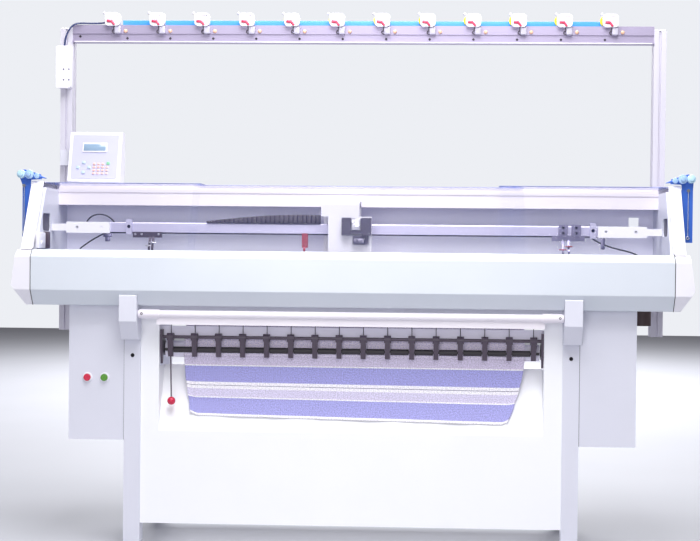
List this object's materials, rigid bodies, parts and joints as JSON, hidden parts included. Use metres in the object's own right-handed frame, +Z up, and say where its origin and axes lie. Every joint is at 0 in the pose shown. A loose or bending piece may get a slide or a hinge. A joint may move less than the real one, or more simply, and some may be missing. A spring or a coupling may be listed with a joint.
{
  "type": "flat knitting machine",
  "caption": "Motor-driven V-bed flat knitting machine on four legs, with sliding clear covers, a yarn gantry, a take-down with a striped sample, and two side cabinets.",
  "frame": {"origin": "on the floor, under the middle of the machine's bounding box", "axes": "+X to the operator's right along the needle beds, +Y away from the operator, +Z up"},
  "size_m": [2.492, 0.7, 2.0532],
  "materials": {
    "casing_paint": "satin",
    "frame_paint": "satin",
    "apron_paint": "satin",
    "steel": "satin",
    "casting": "matt",
    "aluminium": "satin",
    "dark_steel": "satin",
    "black_plastic": "matt",
    "white_plastic": "gloss",
    "grey_plastic": "matt",
    "acrylic": "clear",
    "blue_paint": "gloss",
    "red_plastic": "gloss",
    "green_plastic": "gloss",
    "motor_paint": "satin",
    "belt_rubber": "matt",
    "cable_sheath": "satin",
    "knitted_yarn": "matt"
  },
  "bodies": {
    "machine": {"legs": "frame_paint", "levelling_feet": "black_plastic", "leg_brackets": "frame_paint", "base_frame": "frame_paint", "leg_stretchers": "frame_paint", "side_plates": "frame_paint", "bed_carrier": "casting", "front_needle_bed": "steel", "front_needles": "steel", "carriage_rails": "steel", "top_rail": "aluminium", "yarn_rail": "steel", "yarn_rail_brackets": "frame_paint", "front_casing": "casing_paint", "end_caps": "white_plastic", "side_covers": "white_plastic", "rear_wall": "frame_paint", "rear_casing": "casing_paint", "apron": "apron_paint", "takedown_plate": "frame_paint", "takedown_brackets": "dark_steel", "knitted_sample": "knitted_yarn", "left_cabinet": "frame_paint", "right_cabinet": "frame_paint", "button_bezels": "white_plastic", "rear_posts": "aluminium", "cross_beam": "aluminium", "yarn_unit_bodies": "white_plastic", "yarn_unit_arms": "black_plastic", "stop_motion_box": "white_plastic", "signal_cable": "cable_sheath", "panel_housing": "white_plastic", "panel_keypad": "grey_plastic", "panel_arm": "frame_paint", "side_tensioners": "blue_paint", "drive_motor": "motor_paint", "drive_belt": "belt_rubber", "drag_chain": "black_plastic"},
    "rear_bed": {"rear_needle_bed": "steel", "rear_needles": "steel"},
    "carriage": {"cam_boxes": "casing_paint", "carriage_bow": "casing_paint", "carriage_grips": "black_plastic"},
    "left_yarn_feeder": {"left_feeder": "dark_steel"},
    "middle_yarn_feeder": {"middle_feeder": "red_plastic"},
    "right_yarn_feeder": {"right_feeder": "steel"},
    "left_cover": {"left_window": "acrylic"},
    "centre_cover": {"centre_window": "acrylic"},
    "right_cover": {"right_window": "acrylic"},
    "start_stop_bar": {"start_bar": "frame_paint"},
    "takedown_roller": {"main_roller": "steel"},
    "press_lever": {"pressing_arms": "dark_steel", "release_knob": "red_plastic"},
    "press_roller": {"pressure_roller": "black_plastic"},
    "stop_button": {"red_button": "red_plastic"},
    "run_button": {"green_button": "green_plastic"},
    "left_takeup": {"left_takeup_arm": "steel"},
    "right_takeup": {"right_takeup_arm": "steel"},
    "driving_pulley": {"drive_pulley": "steel"},
    "tension_pulley": {"idler_pulley": "steel"}
  },
  "joints": [
    {"name": "rear_bed_racking", "type": "slide", "parent": "machine", "child": "rear_bed", "axis": [1, 0, 0], "range_m": [-0.0127, 0.0127]},
    {"name": "carriage_travel", "type": "slide", "parent": "machine", "child": "carriage", "axis": [1, 0, 0], "range_m": [-0.793, 0.816]},
    {"name": "left_feeder_travel", "type": "slide", "parent": "machine", "child": "left_yarn_feeder", "axis": [1, 0, 0], "range_m": [0, 0.48]},
    {"name": "middle_feeder_travel", "type": "slide", "parent": "machine", "child": "middle_yarn_feeder", "axis": [1, 0, 0], "range_m": [0, 0.45]},
    {"name": "right_feeder_travel", "type": "slide", "parent": "machine", "child": "right_yarn_feeder", "axis": [1, 0, 0], "range_m": [-0.45, 0]},
    {"name": "left_window_slide", "type": "slide", "parent": "machine", "child": "left_cover", "axis": [1, 0, 0], "range_m": [0, 0.55]},
    {"name": "centre_window_slide", "type": "slide", "parent": "machine", "child": "centre_cover", "axis": [1, 0, 0], "range_m": [-0.52, 0.52]},
    {"name": "right_window_slide", "type": "slide", "parent": "machine", "child": "right_cover", "axis": [1, 0, 0], "range_m": [-0.55, 0]},
    {"name": "start_bar_turn", "type": "hinge", "parent": "machine", "child": "start_stop_bar", "pos_m": [0, -0.318, 0.87], "axis": [1, 0, 0], "range_deg": [-15, 15], "stiffness_Nm_per_rad": 12},
    {"name": "main_roller_spin", "type": "hinge", "parent": "machine", "child": "takedown_roller", "pos_m": [0, -0.176, 0.736], "axis": [1, 0, 0], "continuous": true},
    {"name": "press_release", "type": "hinge", "parent": "machine", "child": "press_lever", "pos_m": [0, -0.228, 0.783], "axis": [-1, 0, 0], "range_deg": [0, 25], "stiffness_Nm_per_rad": 12, "springref_deg": -11.46},
    {"name": "pressure_roller_spin", "type": "hinge", "parent": "press_lever", "child": "press_roller", "pos_m": [0, -0.2206, 0.736], "axis": [1, 0, 0], "continuous": true},
    {"name": "red_button_push", "type": "slide", "parent": "machine", "child": "stop_button", "axis": [0, 1, 0], "range_m": [0, 0.003], "stiffness_N_per_m": 300},
    {"name": "green_button_push", "type": "slide", "parent": "machine", "child": "run_button", "axis": [0, 1, 0], "range_m": [0, 0.003], "stiffness_N_per_m": 300},
    {"name": "left_takeup_swing", "type": "hinge", "parent": "machine", "child": "left_takeup", "pos_m": [-1.221, -0.206, 1.336], "axis": [0, 1, 0], "range_deg": [0, 40], "stiffness_Nm_per_rad": 0.08, "springref_deg": -5.73},
    {"name": "right_takeup_swing", "type": "hinge", "parent": "machine", "child": "right_takeup", "pos_m": [1.221, -0.206, 1.336], "axis": [0, -1, 0], "range_deg": [0, 40], "stiffness_Nm_per_rad": 0.08, "springref_deg": -5.73},
    {"name": "drive_pulley_spin", "type": "hinge", "parent": "machine", "child": "driving_pulley", "pos_m": [1.095, 0.065, 1.01], "axis": [0, 0, 1], "continuous": true},
    {"name": "idler_pulley_spin", "type": "hinge", "parent": "machine", "child": "tension_pulley", "pos_m": [-1.095, 0.065, 1.01], "axis": [0, 0, 1], "continuous": true}
  ],
  "couplings": [
    {"joint": "drive_pulley_spin", "follows": "carriage_travel", "rad_per_m": 38.76},
    {"joint": "idler_pulley_spin", "follows": "carriage_travel", "rad_per_m": 38.76},
    {"joint": "pressure_roller_spin", "follows": "main_roller_spin", "ratio": -2.7273}
  ]
}
